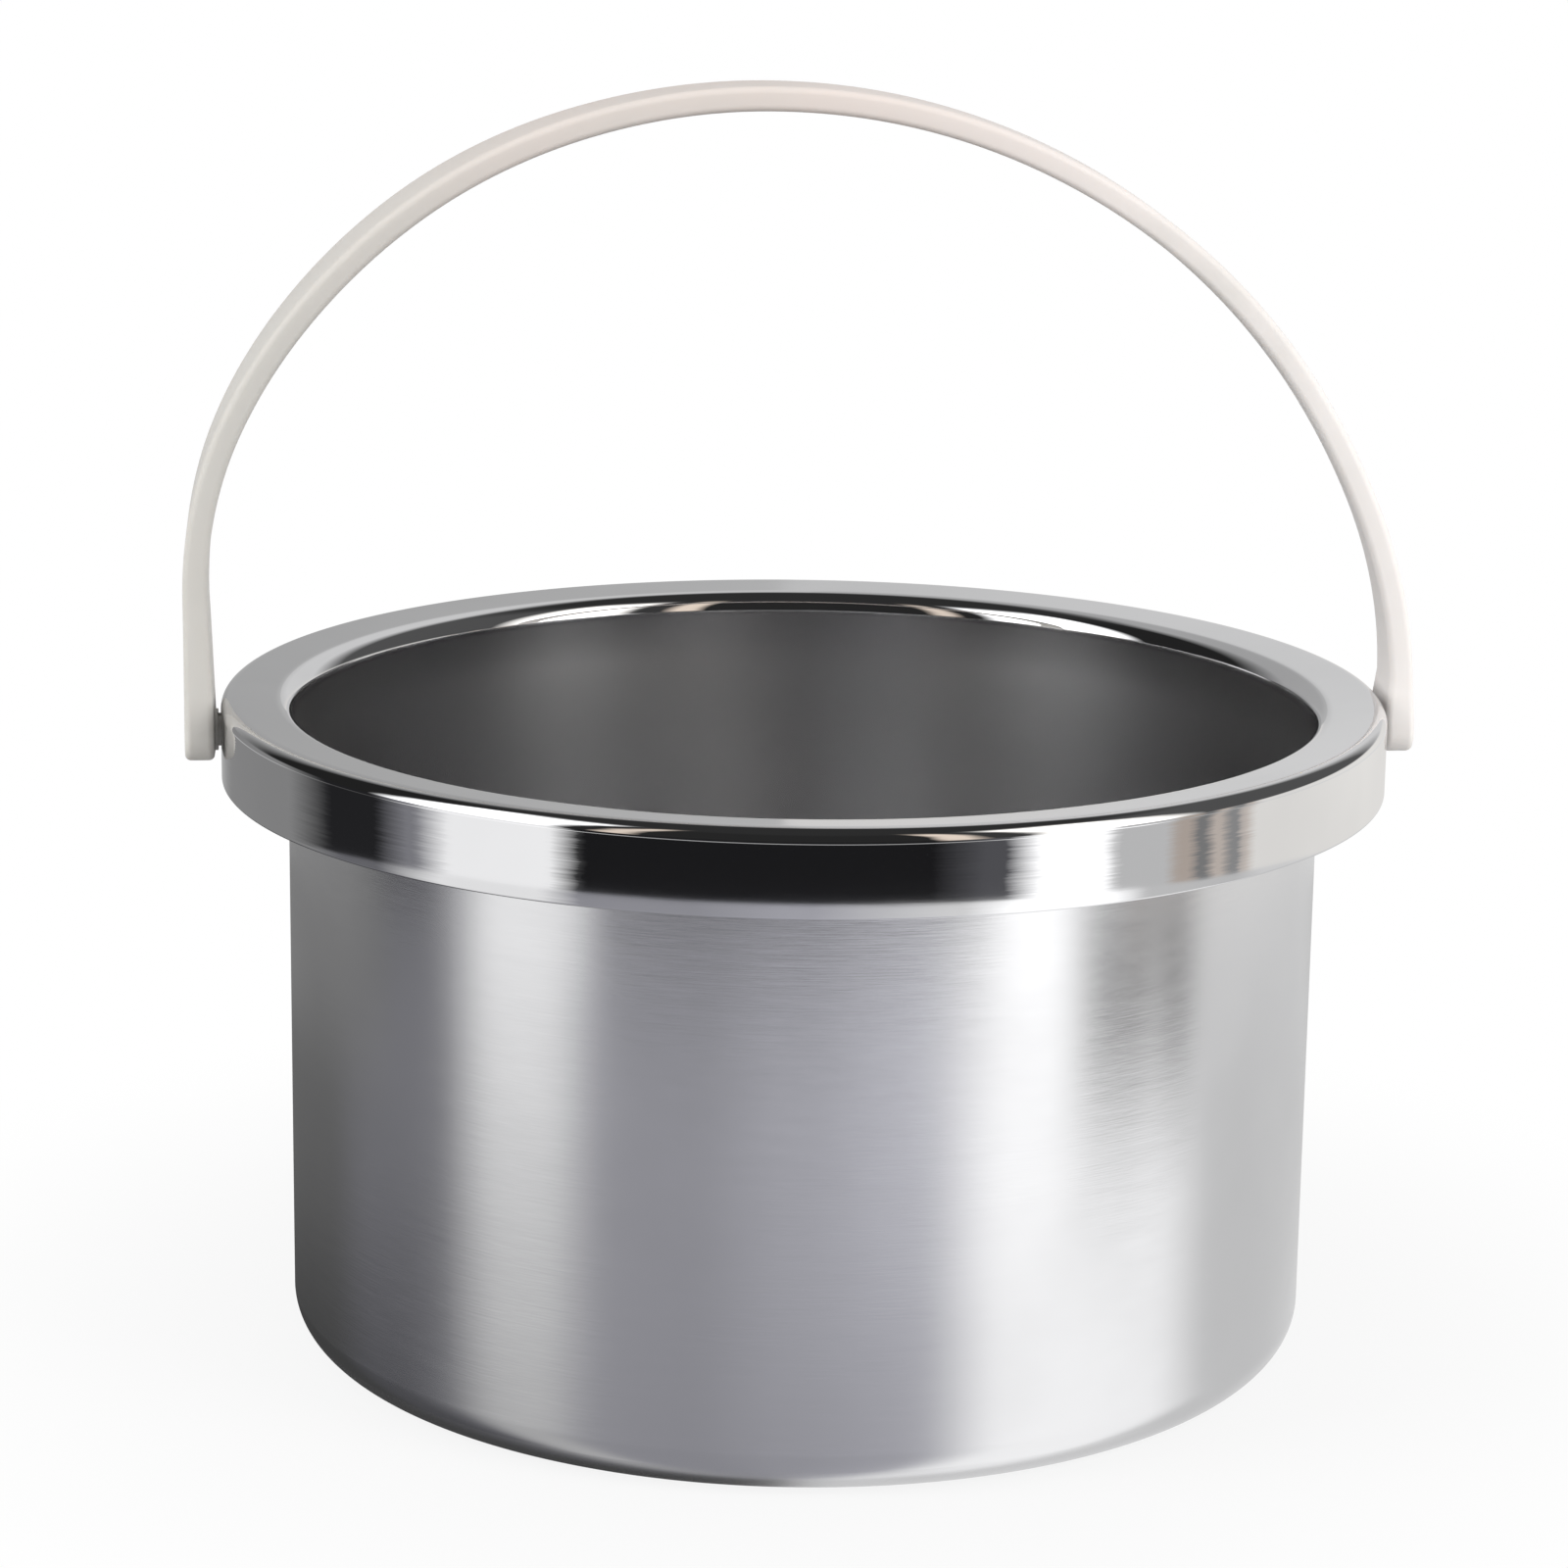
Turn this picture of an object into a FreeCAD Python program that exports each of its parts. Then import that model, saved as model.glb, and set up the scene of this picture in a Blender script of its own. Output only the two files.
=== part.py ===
import FreeCAD, Part
import math
import os

# Inner pot of a wax melter, with its swinging carrying bail.
# Origin at the centre of the pot's underside, +Z up. The bail swings about an axis along X
# and is modelled standing straight up. Lengths are in millimetres, angles in degrees.

# Pot: one piece of drawn aluminium sheet, so every wall has the same thickness
opening_d = 105.0            # across the inside of the wall
flange_w = 7.5               # inside of the wall to outside of the skirt, so 120 across the rim
pot_h = 68.0                 # underside to the top of the rim
sheet_t = 0.7                # the same in every wall
base_corner_r = 4.5          # outside of the bend between base and wall
lip_r = 2.2                  # outside of the bend where the wall turns out into the flange
rim_corner_r = 1.4           # outside of the bend where the flange turns down into the skirt
flange_fall = 5.5            # how far the flange tips towards the opening
skirt_h = 8.5                # top of the rim to the skirt's trimmed edge

# Pivot holes in the skirt
pivot_drop = 3.9             # top of the rim to the pivot axis
pivot_hole_d = 3.5

# Bail: one moulded strip with a paddle, a collar and a split snap peg at each end
strip_w = 7.8
strip_t = 2.5
bail_rise = 65.3             # pivot axis to the middle of the strip at the crown
crown_shift = -5.7           # the soft strip has set with its crown left of the middle
left_leg_h = 14.0            # straight run of the left leg above the pivot axis
right_leg_h = 5.0            # straight run of the right leg above the pivot axis
shoulder_turn = 66.0         # from the crown's top to where its arc meets the shoulder's
edge_r = 0.7                 # moulded rounding along the strip
paddle_w = 8.8
paddle_drop = 2.7            # pivot axis to the paddle's end
paddle_corner_r = 2.2        # round corners of the paddle's end
paddle_step = 0.5            # how much further in the paddle's inner face lies than the strip's
paddle_flat_h = 1.0          # pivot axis to where the paddle starts to thin and narrow
collar_l = 0.3
collar_overhang = 0.4        # how far the collar reaches past the edge of the pivot hole
end_play = 0.3               # collar to skirt outside, and barb to skirt inside
peg_clearance = 0.05         # radial, between the peg's neck and its hole
barb_overhang = 0.55         # how far the barb reaches past the edge of the pivot hole
barb_lead_in = 0.35          # how much smaller the barb's tip is than the hole, radially
barb_rim_l = 0.5             # full-width part of the barb
barb_cone_l = 1.7            # tapered part of the barb

# Worked out from the sizes above
wall_r = opening_d / 2 + sheet_t
rim_r = opening_d / 2 + flange_w
skirt_inner_r = rim_r - sheet_t
pivot_z = pot_h - pivot_drop
collar_x = rim_r + end_play
paddle_inner_x = collar_x + collar_l
leg_inner_x = paddle_inner_x + paddle_step
leg_outer_x = leg_inner_x + strip_t
leg_mid_x = leg_inner_x + strip_t / 2
pivot_hole_r = pivot_hole_d / 2
collar_r = pivot_hole_r + collar_overhang
neck_r = pivot_hole_r - peg_clearance
barb_r = pivot_hole_r + barb_overhang
barb_tip_r = pivot_hole_r - barb_lead_in
slot_w = 2 * barb_overhang   # the halves close by this much to pass the hole
full_turn = 360.0
pivot_axis = FreeCAD.Vector(1, 0, 0)


def at(x, z, y=0.0):
    return FreeCAD.Vector(x, y, z)


def left_of(direction):
    return FreeCAD.Vector(-direction.z, 0, direction.x)


def shifted_path(path, shift):
    # The same polyline moved sideways by shift, to the left of its direction of travel.
    runs = [(b - a).normalize() for a, b in zip(path, path[1:])]
    moved = [path[0] + left_of(runs[0]) * shift]
    for corner, u, v in zip(path[1:-1], runs, runs[1:]):
        moved.append(corner + (left_of(u) + left_of(v)) * (shift / (1 + u.dot(v))))
    moved.append(path[-1] + left_of(runs[-1]) * shift)
    return moved


def rounded_edges(path, radii):
    # Straight edges along the polyline, joined at each inner corner by a tangent arc.
    edges = []
    start = path[0]
    for before, corner, after, radius in zip(path, path[1:], path[2:], radii):
        u = (corner - before).normalize()
        v = (after - corner).normalize()
        half_bend = u.getAngle(v) / 2
        setback = radius * math.tan(half_bend)
        arc_start = corner - u * setback
        arc_end = corner + v * setback
        inward = (v - u).normalize()
        arc_middle = corner + inward * (radius / math.cos(half_bend) - radius)
        edges.append(Part.LineSegment(start, arc_start).toShape())
        edges.append(Part.Arc(arc_start, arc_middle, arc_end).toShape())
        start = arc_end
    edges.append(Part.LineSegment(start, path[-1]).toShape())
    return edges


def bent_sheet_face(path, bend_radii, thickness):
    # Section of a sheet of constant thickness whose middle follows the polyline.
    # A bend's radius is that of the middle of the sheet, and both skins share its centre.
    turns = []
    for a, b, c in zip(path, path[1:], path[2:]):
        turns.append(math.copysign(1, left_of(b - a).dot(c - b)))
    skins = []
    for shift in (thickness / 2, -thickness / 2):
        radii = [radius - turn * shift for radius, turn in zip(bend_radii, turns)]
        skins.append((shifted_path(path, shift), radii))
    (left_path, left_radii), (right_path, right_radii) = skins
    edges = rounded_edges(left_path, left_radii)
    edges.append(Part.LineSegment(left_path[-1], right_path[-1]).toShape())
    edges += rounded_edges(right_path[::-1], right_radii[::-1])
    edges.append(Part.LineSegment(right_path[0], left_path[0]).toShape())
    return Part.Face(Part.Wire(Part.__sortEdges__(edges)))


def pot():
    # Base, wall, falling flange and hanging skirt are one continuous sheet.
    half = sheet_t / 2
    fall = math.radians(flange_fall)
    corner_mid_r = rim_corner_r - half
    skirt_mid_r = rim_r - half
    wall_mid_r = wall_r - half
    rim_corner_z = pot_h - rim_corner_r + corner_mid_r * (1 + math.sin(fall)) / math.cos(fall)
    lip_corner_z = rim_corner_z - (skirt_mid_r - wall_mid_r) * math.tan(fall)
    path = [
        at(0, half),
        at(wall_mid_r, half),
        at(wall_mid_r, lip_corner_z),
        at(skirt_mid_r, rim_corner_z),
        at(skirt_mid_r, pot_h - skirt_h),
    ]
    bend_radii = [base_corner_r - half, lip_r - half, corner_mid_r]
    section = bent_sheet_face(path, bend_radii, sheet_t)
    shell = section.revolve(at(0, 0), FreeCAD.Vector(0, 0, 1), full_turn)
    for side in (-1, 1):
        # The drill starts in the gap behind the skirt and ends one sheet outside it.
        start = at(side * (skirt_inner_r - sheet_t), pivot_z)
        drill = Part.makeCylinder(pivot_hole_r, 3 * sheet_t, start, pivot_axis * side)
        shell = shell.cut(drill)
    return shell


def front_half_section(inner_x, outer_x, side, width, z):
    # Front half of a level section through a leg, with the moulded rounding at its corners.
    corners = [
        at(side * inner_x, z),
        at(side * inner_x, z, -width / 2),
        at(side * outer_x, z, -width / 2),
        at(side * outer_x, z),
    ]
    return rounded_edges(corners, [edge_r, edge_r])


def leg_section(inner_x, outer_x, side, width, z):
    front = front_half_section(inner_x, outer_x, side, width, z)
    back = [edge.mirror(at(0, 0), FreeCAD.Vector(0, 1, 0)) for edge in front]
    return Part.Wire(Part.__sortEdges__(front + back))


def arch_half(side, leg_h):
    # Middle line of one half of the arch, from the crown down to the top of its straight leg.
    # The crown's arc and the shoulder's arc meet at shoulder_turn with a common tangent.
    turn = math.radians(shoulder_turn)
    quarter = math.pi / 2
    reach = leg_mid_x - side * crown_shift
    rise = bail_rise - leg_h
    difference = (reach - rise) / (math.sin(turn) + math.cos(turn) - 1)
    shoulder_r = reach - difference * math.sin(turn)
    crown_r = rise + difference * math.cos(turn)
    crown_centre = at(crown_shift, pivot_z + bail_rise - crown_r)
    shoulder_centre = at(crown_shift + side * (reach - shoulder_r), pivot_z + leg_h)
    arcs = []
    for centre, radius, first, last in (
        (crown_centre, crown_r, 0, turn),
        (shoulder_centre, shoulder_r, turn, quarter),
    ):
        angles = (first, (first + last) / 2, last)
        points = [centre + at(side * math.sin(a), math.cos(a)) * radius for a in angles]
        arcs.append(Part.Arc(*points).toShape())
    return arcs


def arch():
    arcs = arch_half(-1, left_leg_h) + arch_half(1, right_leg_h)
    route = Part.Wire(Part.__sortEdges__(arcs))
    start = leg_section(leg_inner_x, leg_outer_x, -1, strip_w, pivot_z + left_leg_h)
    return route.makePipeShell([start], True, True)


def paddle(side):
    # Plate round the peg, with round lower corners and the strip's rounding along its edges.
    top_z = pivot_z + paddle_flat_h
    bottom_z = pivot_z - paddle_drop
    inner_x = side * paddle_inner_x
    corners = [
        at(inner_x, top_z, -paddle_w / 2),
        at(inner_x, bottom_z, -paddle_w / 2),
        at(inner_x, bottom_z, paddle_w / 2),
        at(inner_x, top_z, paddle_w / 2),
    ]
    outline = rounded_edges(corners, [paddle_corner_r, paddle_corner_r])
    outline.append(Part.LineSegment(corners[-1], corners[0]).toShape())
    face = Part.Face(Part.Wire(Part.__sortEdges__(outline)))
    plate = face.extrude(pivot_axis * side * (leg_outer_x - paddle_inner_x))
    rims = []
    for edge in plate.Edges:
        box = edge.BoundBox
        if box.XLength < edge_r and box.ZMin < top_z - edge_r:
            rims.append(edge)
    return plate.makeFillet(edge_r, rims)


def leg(side, leg_h):
    # The strip thickens and widens down the leg into its paddle.
    paddle_top_z = pivot_z + paddle_flat_h
    paddle_top = leg_section(paddle_inner_x, leg_outer_x, side, paddle_w, paddle_top_z)
    strip_end = leg_section(leg_inner_x, leg_outer_x, side, strip_w, pivot_z + leg_h)
    taper = Part.makeLoft([paddle_top, strip_end], True, True)
    return taper.fuse(paddle(side))


def turned_about_pivot(profile, side):
    # Solid of revolution about the pivot axis from (distance from the middle, radius) corners.
    corners = [at(side * x, pivot_z + r) for x, r in profile]
    face = Part.Face(Part.makePolygon(corners + corners[:1]))
    return face.revolve(at(0, pivot_z), pivot_axis, full_turn)


def box_on_pivot(first_x, last_x, width, height, side):
    low_x = min(side * first_x, side * last_x)
    corner = at(low_x, pivot_z - height / 2, -width / 2)
    return Part.makeBox(abs(last_x - first_x), width, height, corner)


def snap_peg(side):
    # Collar and running neck, with a barb that hooks the skirt in front of and behind the hole.
    # Flats above and below, and the upright split, let the barb pass the hole when squeezed.
    barb_back_x = skirt_inner_r - end_play
    cone_x = barb_back_x - barb_rim_l
    tip_x = cone_x - barb_cone_l
    root_x = leg_mid_x
    neck = [
        (barb_back_x, 0),
        (barb_back_x, neck_r),
        (collar_x, neck_r),
        (collar_x, collar_r),
        (root_x, collar_r),
        (root_x, 0),
    ]
    barb = [
        (tip_x, 0),
        (tip_x, barb_tip_r),
        (cone_x, barb_r),
        (barb_back_x, barb_r),
        (barb_back_x, 0),
    ]
    flats = box_on_pivot(tip_x, barb_back_x, 2 * barb_r, 2 * neck_r, side)
    split = box_on_pivot(tip_x, collar_x, slot_w, 2 * barb_r, side)
    hook = turned_about_pivot(barb, side).common(flats)
    return turned_about_pivot(neck, side).fuse(hook).cut(split)


def bail_handle():
    bail = arch()
    for side, leg_h in ((-1, left_leg_h), (1, right_leg_h)):
        bail = bail.fuse(leg(side, leg_h)).fuse(snap_peg(side))
    return bail.removeSplitter()


def save(name, shape):
    solid = shape.Solids[0]
    print(name, "solids:", len(shape.Solids), "volume mm3:", round(solid.Volume, 1))
    solid.exportStep(os.path.join("parts", name + ".step"))


os.makedirs("parts", exist_ok=True)
save("pot", pot())
save("bail_handle", bail_handle())
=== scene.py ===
import math

import bpy
import numpy as np
from mathutils import Matrix, Vector


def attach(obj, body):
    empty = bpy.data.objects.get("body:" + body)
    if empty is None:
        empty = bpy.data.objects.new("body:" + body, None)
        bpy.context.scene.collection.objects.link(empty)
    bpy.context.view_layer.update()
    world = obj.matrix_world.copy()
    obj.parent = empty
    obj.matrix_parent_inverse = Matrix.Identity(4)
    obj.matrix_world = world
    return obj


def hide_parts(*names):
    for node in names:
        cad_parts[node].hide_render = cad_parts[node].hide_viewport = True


# Inner pot of a wax melter and its milky carrying bail. The pot and bail dictionaries are in
# millimetres and degrees; the looks, the studio and everything in Blender are in metres.

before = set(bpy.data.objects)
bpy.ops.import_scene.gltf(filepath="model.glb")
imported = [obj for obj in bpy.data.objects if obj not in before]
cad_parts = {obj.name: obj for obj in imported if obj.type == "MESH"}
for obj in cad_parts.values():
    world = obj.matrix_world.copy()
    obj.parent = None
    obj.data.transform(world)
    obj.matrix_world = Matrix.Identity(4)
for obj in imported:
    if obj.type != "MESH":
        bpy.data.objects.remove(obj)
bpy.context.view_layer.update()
print("frame loaded:", sorted(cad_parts))

mm = 0.001
scene = bpy.context.scene


def feed(tree, node, inputs):
    # gives each input its value, or links it to the socket named for it
    for key, value in inputs.items():
        if isinstance(value, bpy.types.NodeSocket):
            tree.links.new(value, node.inputs[key])
        else:
            node.inputs[key].default_value = value


def addNode(tree, kind, settings=None, inputs=None):
    node = tree.nodes.new(kind)
    for name, value in (settings or {}).items():
        setattr(node, name, value)
    feed(tree, node, inputs or {})
    return node


def calc(tree, operation, *values):
    # one Math node; values are numbers or sockets
    inputs = dict(enumerate(values))
    return addNode(tree, "ShaderNodeMath", {"operation": operation}, inputs).outputs[0]


def vectorCalc(tree, operation, *values):
    inputs = dict(enumerate(values))
    node = addNode(tree, "ShaderNodeVectorMath", {"operation": operation}, inputs)
    return node.outputs["Value" if operation == "LENGTH" else "Vector"]


def scaled(tree, vector, factor):
    inputs = {0: vector, "Scale": factor}
    return addNode(tree, "ShaderNodeVectorMath", {"operation": "SCALE"}, inputs).outputs["Vector"]


def separated(tree, vector):
    return addNode(tree, "ShaderNodeSeparateXYZ", None, {0: vector}).outputs


def combined(tree, **parts):
    return addNode(tree, "ShaderNodeCombineXYZ", None, parts).outputs[0]


def blendNumber(tree, factor, low, high):
    inputs = {0: factor, 2: low, 3: high}
    return addNode(tree, "ShaderNodeMix", {"data_type": "FLOAT"}, inputs).outputs[0]


def blendColour(tree, factor, low, high):
    inputs = {0: factor, 6: low, 7: high}
    return addNode(tree, "ShaderNodeMix", {"data_type": "RGBA"}, inputs).outputs[2]


def softStep(tree, value, low, high):
    # 0 below low, 1 above high, smooth between
    node = addNode(tree, "ShaderNodeMapRange", {"interpolation_type": "SMOOTHSTEP"},
                   {"Value": value, "From Min": low, "From Max": high})
    return node.outputs["Result"]


def objectPlace(tree):
    return addNode(tree, "ShaderNodeTexCoord").outputs["Object"]


def sampleAt(tree, kind, geometry, value, index):
    inputs = {"Geometry": geometry, "Value": value, "Index": index}
    return addNode(tree, "GeometryNodeSampleIndex", {"data_type": kind}, inputs).outputs[0]


def namedValue(tree, name, kind, geometry, index):
    value = addNode(tree, "GeometryNodeInputNamedAttribute", {"data_type": kind}, {"Name": name})
    return sampleAt(tree, kind, geometry, value.outputs["Attribute"], index)


def gridWithPlaces(tree, columns, rows):
    # a grid, with the column and the row of each of its points
    grid = addNode(tree, "GeometryNodeMeshGrid", None,
                   {"Size X": 1.0, "Size Y": 1.0, "Vertices X": columns, "Vertices Y": rows})
    index = addNode(tree, "GeometryNodeInputIndex").outputs[0]
    column = calc(tree, "FLOOR", calc(tree, "DIVIDE", calc(tree, "ADD", index, 0.5), rows))
    row = calc(tree, "SUBTRACT", index, calc(tree, "MULTIPLY", column, rows))
    return grid.outputs["Mesh"], column, row


def movedAndMerged(tree, geometry, position, gap):
    placed = addNode(tree, "GeometryNodeSetPosition", None,
                     {"Geometry": geometry, "Position": position})
    return addNode(tree, "GeometryNodeMergeByDistance", None,
                   {"Geometry": placed.outputs[0], "Distance": gap * mm}).outputs[0]


def boolean(tree, operation, first, *others):
    node = addNode(tree, "GeometryNodeMeshBoolean", {"operation": operation, "solver": "EXACT"})
    tree.links.new(first, node.inputs["Mesh 1" if operation == "DIFFERENCE" else "Mesh 2"])
    for other in others:
        tree.links.new(other, node.inputs["Mesh 2"])
    return node.outputs["Mesh"]


def dressed(tree, geometry, creaseAngle, material):
    # smooth shading with creases at the sharper edges, and the material
    smooth = addNode(tree, "GeometryNodeSetShadeSmooth", None, {"Geometry": geometry})
    edgeAngle = addNode(tree, "GeometryNodeInputMeshEdgeAngle").outputs["Unsigned Angle"]
    gentle = addNode(tree, "FunctionNodeCompare", {"data_type": "FLOAT", "operation": "LESS_THAN"},
                     {"A": edgeAngle, "B": math.radians(creaseAngle)})
    creased = addNode(tree, "GeometryNodeSetShadeSmooth", {"domain": "EDGE"},
                      {"Geometry": smooth.outputs[0], "Shade Smooth": gentle.outputs[0]})
    real = addNode(tree, "GeometryNodeRealizeInstances", None, {"Geometry": creased.outputs[0]})
    return addNode(tree, "GeometryNodeSetMaterial", None,
                   {"Geometry": real.outputs[0], "Material": material}).outputs[0]


def newTree(name, kind, inputs, outputs):
    tree = bpy.data.node_groups.new(name, kind)
    for direction, sockets in (("INPUT", inputs), ("OUTPUT", outputs)):
        for socketName, socketType, value in sockets:
            socket = tree.interface.new_socket(socketName, in_out=direction, socket_type=socketType)
            if value is not None:
                socket.default_value = value
    return tree, tree.nodes.new("NodeGroupInput"), tree.nodes.new("NodeGroupOutput")


def meshFromNodes(name, seedMesh, tree, values):
    # runs the tree over the seed mesh and returns the finished plain mesh object
    seed = bpy.data.objects.new(name + "Seed", seedMesh)
    scene.collection.objects.link(seed)
    modifier = seed.modifiers.new("build", "NODES")
    modifier.node_group = tree
    for item in tree.interface.items_tree:
        if item.item_type == "SOCKET" and item.in_out == "INPUT" and item.name in values:
            modifier[item.identifier] = values[item.name]
    evaluated = seed.evaluated_get(bpy.context.evaluated_depsgraph_get())
    mesh = bpy.data.meshes.new_from_object(evaluated)
    mesh.name = name
    if mesh.materials[0] is None:   # left by the boolean
        mesh.materials.pop(index=0)
    seed.modifiers.remove(modifier)
    bpy.data.objects.remove(seed)
    piece = bpy.data.objects.new(name, mesh)
    scene.collection.objects.link(piece)
    return piece


def polyline(name, points, attributes):
    # a chain of points in metres that carries one value per point under each name
    mesh = bpy.data.meshes.new(name)
    mesh.from_pydata(points, [(i, i + 1) for i in range(len(points) - 1)], [])
    for key, (kind, values) in attributes.items():
        layer = mesh.attributes.new(key, kind, "POINT")
        field = "vector" if kind == "FLOAT_VECTOR" else "value"
        layer.data.foreach_set(field, np.array(values, np.float32).ravel())
    return mesh


# the pot is one drawn sheet
pot = {
    "openingRadius": 52.5,
    "gauge": 0.7,
    "rimRadius": 60.0,
    "height": 68.0,
    "baseBend": 4.5,       # outside of the bend
    "lipBend": 2.2,
    "cornerBend": 1.4,
    "flangeFall": 5.5,
    "skirtHeight": 8.5,
    "trimRound": 0.12,     # the cut edge of the skirt is only just broken
    "pivotHeight": 64.1,
    "holeRadius": 1.75,
    "drillLength": 3.0,
    "drillSides": 48,
    "polishDepth": 3.0,    # the wall is buffed this far below the top
    "polishRamp": 0.4,
    "flangeStart": 1.5,    # outward from the opening
    "flangeRamp": 0.9,
    "flangePolish": 0.72,
    "skirtZone": 1.0,      # inward from the rim
    "stepsAround": 400,
    "wallRun": 61.0,
    "wallRows": 12,
    "bendSteps": 24,
    "bendGap": 0.25,       # from a bend to the support rows next to it
    "trimSteps": 4,
    "trimGap": 0.05,
    "mergeGap": 0.001,
    "creaseAngle": 40.0,
}


def bentLine(corners, radii, arcSteps, supportGap):
    # rounds the corners of a chain; each arc gets a close neighbour on both straights
    points = [np.array(corners[0], float)]
    for before, corner, after, radius in zip(corners, corners[1:], corners[2:], radii):
        before, corner, after = (np.array(p, float) for p in (before, corner, after))
        u = (corner - before) / np.linalg.norm(corner - before)
        v = (after - corner) / np.linalg.norm(after - corner)
        bend = math.acos(float(np.clip(u @ v, -1, 1)))
        setback = radius * math.tan(bend / 2)
        inward = (v - u) / np.linalg.norm(v - u)
        centre = corner + inward * radius / math.cos(bend / 2)
        first = corner - u * setback - centre
        turn = math.copysign(1, u[0] * v[1] - u[1] * v[0])
        points.append(corner - u * (setback + supportGap))
        for step in range(arcSteps + 1):
            angle = turn * bend * step / arcSteps
            c, s = math.cos(angle), math.sin(angle)
            spoke = np.array((first[0] * c - first[1] * s, first[0] * s + first[1] * c))
            points.append(centre + spoke)
        points.append(corner + v * (setback + supportGap))
    points.append(np.array(corners[-1], float))
    return points


def spreadStraight(points, longest):
    # cuts long straight runs into rows
    spread = [points[0]]
    for a, b in zip(points, points[1:]):
        rows = max(1, math.ceil(np.linalg.norm(b - a) / longest))
        spread += [a + (b - a) * k / rows for k in range(1, rows + 1)]
    return spread


def sheetOutline():
    # section of the sheet: underside, outside and back of the skirt, then skirt, rim, inside, floor
    half = pot["gauge"] / 2
    fall = math.radians(pot["flangeFall"])
    wall = pot["openingRadius"] + half
    skirt = pot["rimRadius"] - half
    cornerMiddle = pot["cornerBend"] - half
    rimZ = pot["height"] - pot["cornerBend"] + cornerMiddle * (1 + math.sin(fall)) / math.cos(fall)
    lipZ = rimZ - (skirt - wall) * math.tan(fall)
    skirtEnd = pot["height"] - pot["skirtHeight"]
    middle = [(0, half), (wall, half), (wall, lipZ), (skirt, rimZ), (skirt, skirtEnd)]
    outer, inner = [], []
    for shift, skin in ((-half, outer), (half, inner)):
        runs = []
        for a, b in zip(middle, middle[1:]):
            run = np.array(b, float) - np.array(a, float)
            run /= np.linalg.norm(run)
            runs.append(run)
        left = [np.array((-run[1], run[0])) for run in runs]
        skin.append(np.array(middle[0]) + left[0] * shift)
        for point, a, b, u, v in zip(middle[1:], left, left[1:], runs, runs[1:]):
            skin.append(np.array(point) + (a + b) * shift / (1 + float(u @ v)))
        skin.append(np.array(middle[-1]) + left[-1] * shift)
    # going up the wall, the outside lies to the right; the skirt turns the two over
    base, lip, corner, gauge = (pot[key] for key in ("baseBend", "lipBend", "cornerBend", "gauge"))
    steps, gap = pot["bendSteps"], pot["bendGap"]
    under = bentLine(outer, (base, lip - gauge, corner - gauge), steps, gap)
    over = bentLine(inner, (base - gauge, lip, corner), steps, gap)
    trim = pot["trimRound"]
    insideEnd, outsideEnd = under[-1], over[-1]
    edge = bentLine([insideEnd + (0, 2 * trim), insideEnd, outsideEnd, outsideEnd + (0, 2 * trim)],
                    (trim, trim), pot["trimSteps"], pot["trimGap"])
    section = under[:-1] + edge + over[:-1][::-1]
    return spreadStraight(section, pot["wallRun"] / pot["wallRows"])


def polishOf(r, z):
    # 1 on the buffed lip, corner and skirt, less on the flange, 0 on the wall and floor
    if r > pot["rimRadius"] - pot["skirtZone"]:
        return 1.0
    lipStart = pot["height"] - pot["polishDepth"]
    if z < lipStart:
        return 0.0
    onLip = min(1.0, (z - lipStart) / pot["polishRamp"])
    outward = r - pot["openingRadius"] - pot["flangeStart"]
    onFlange = min(1.0, max(0.0, outward / pot["flangeRamp"]))
    return onLip * (1.0 - onFlange * (1.0 - pot["flangePolish"]))


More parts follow.
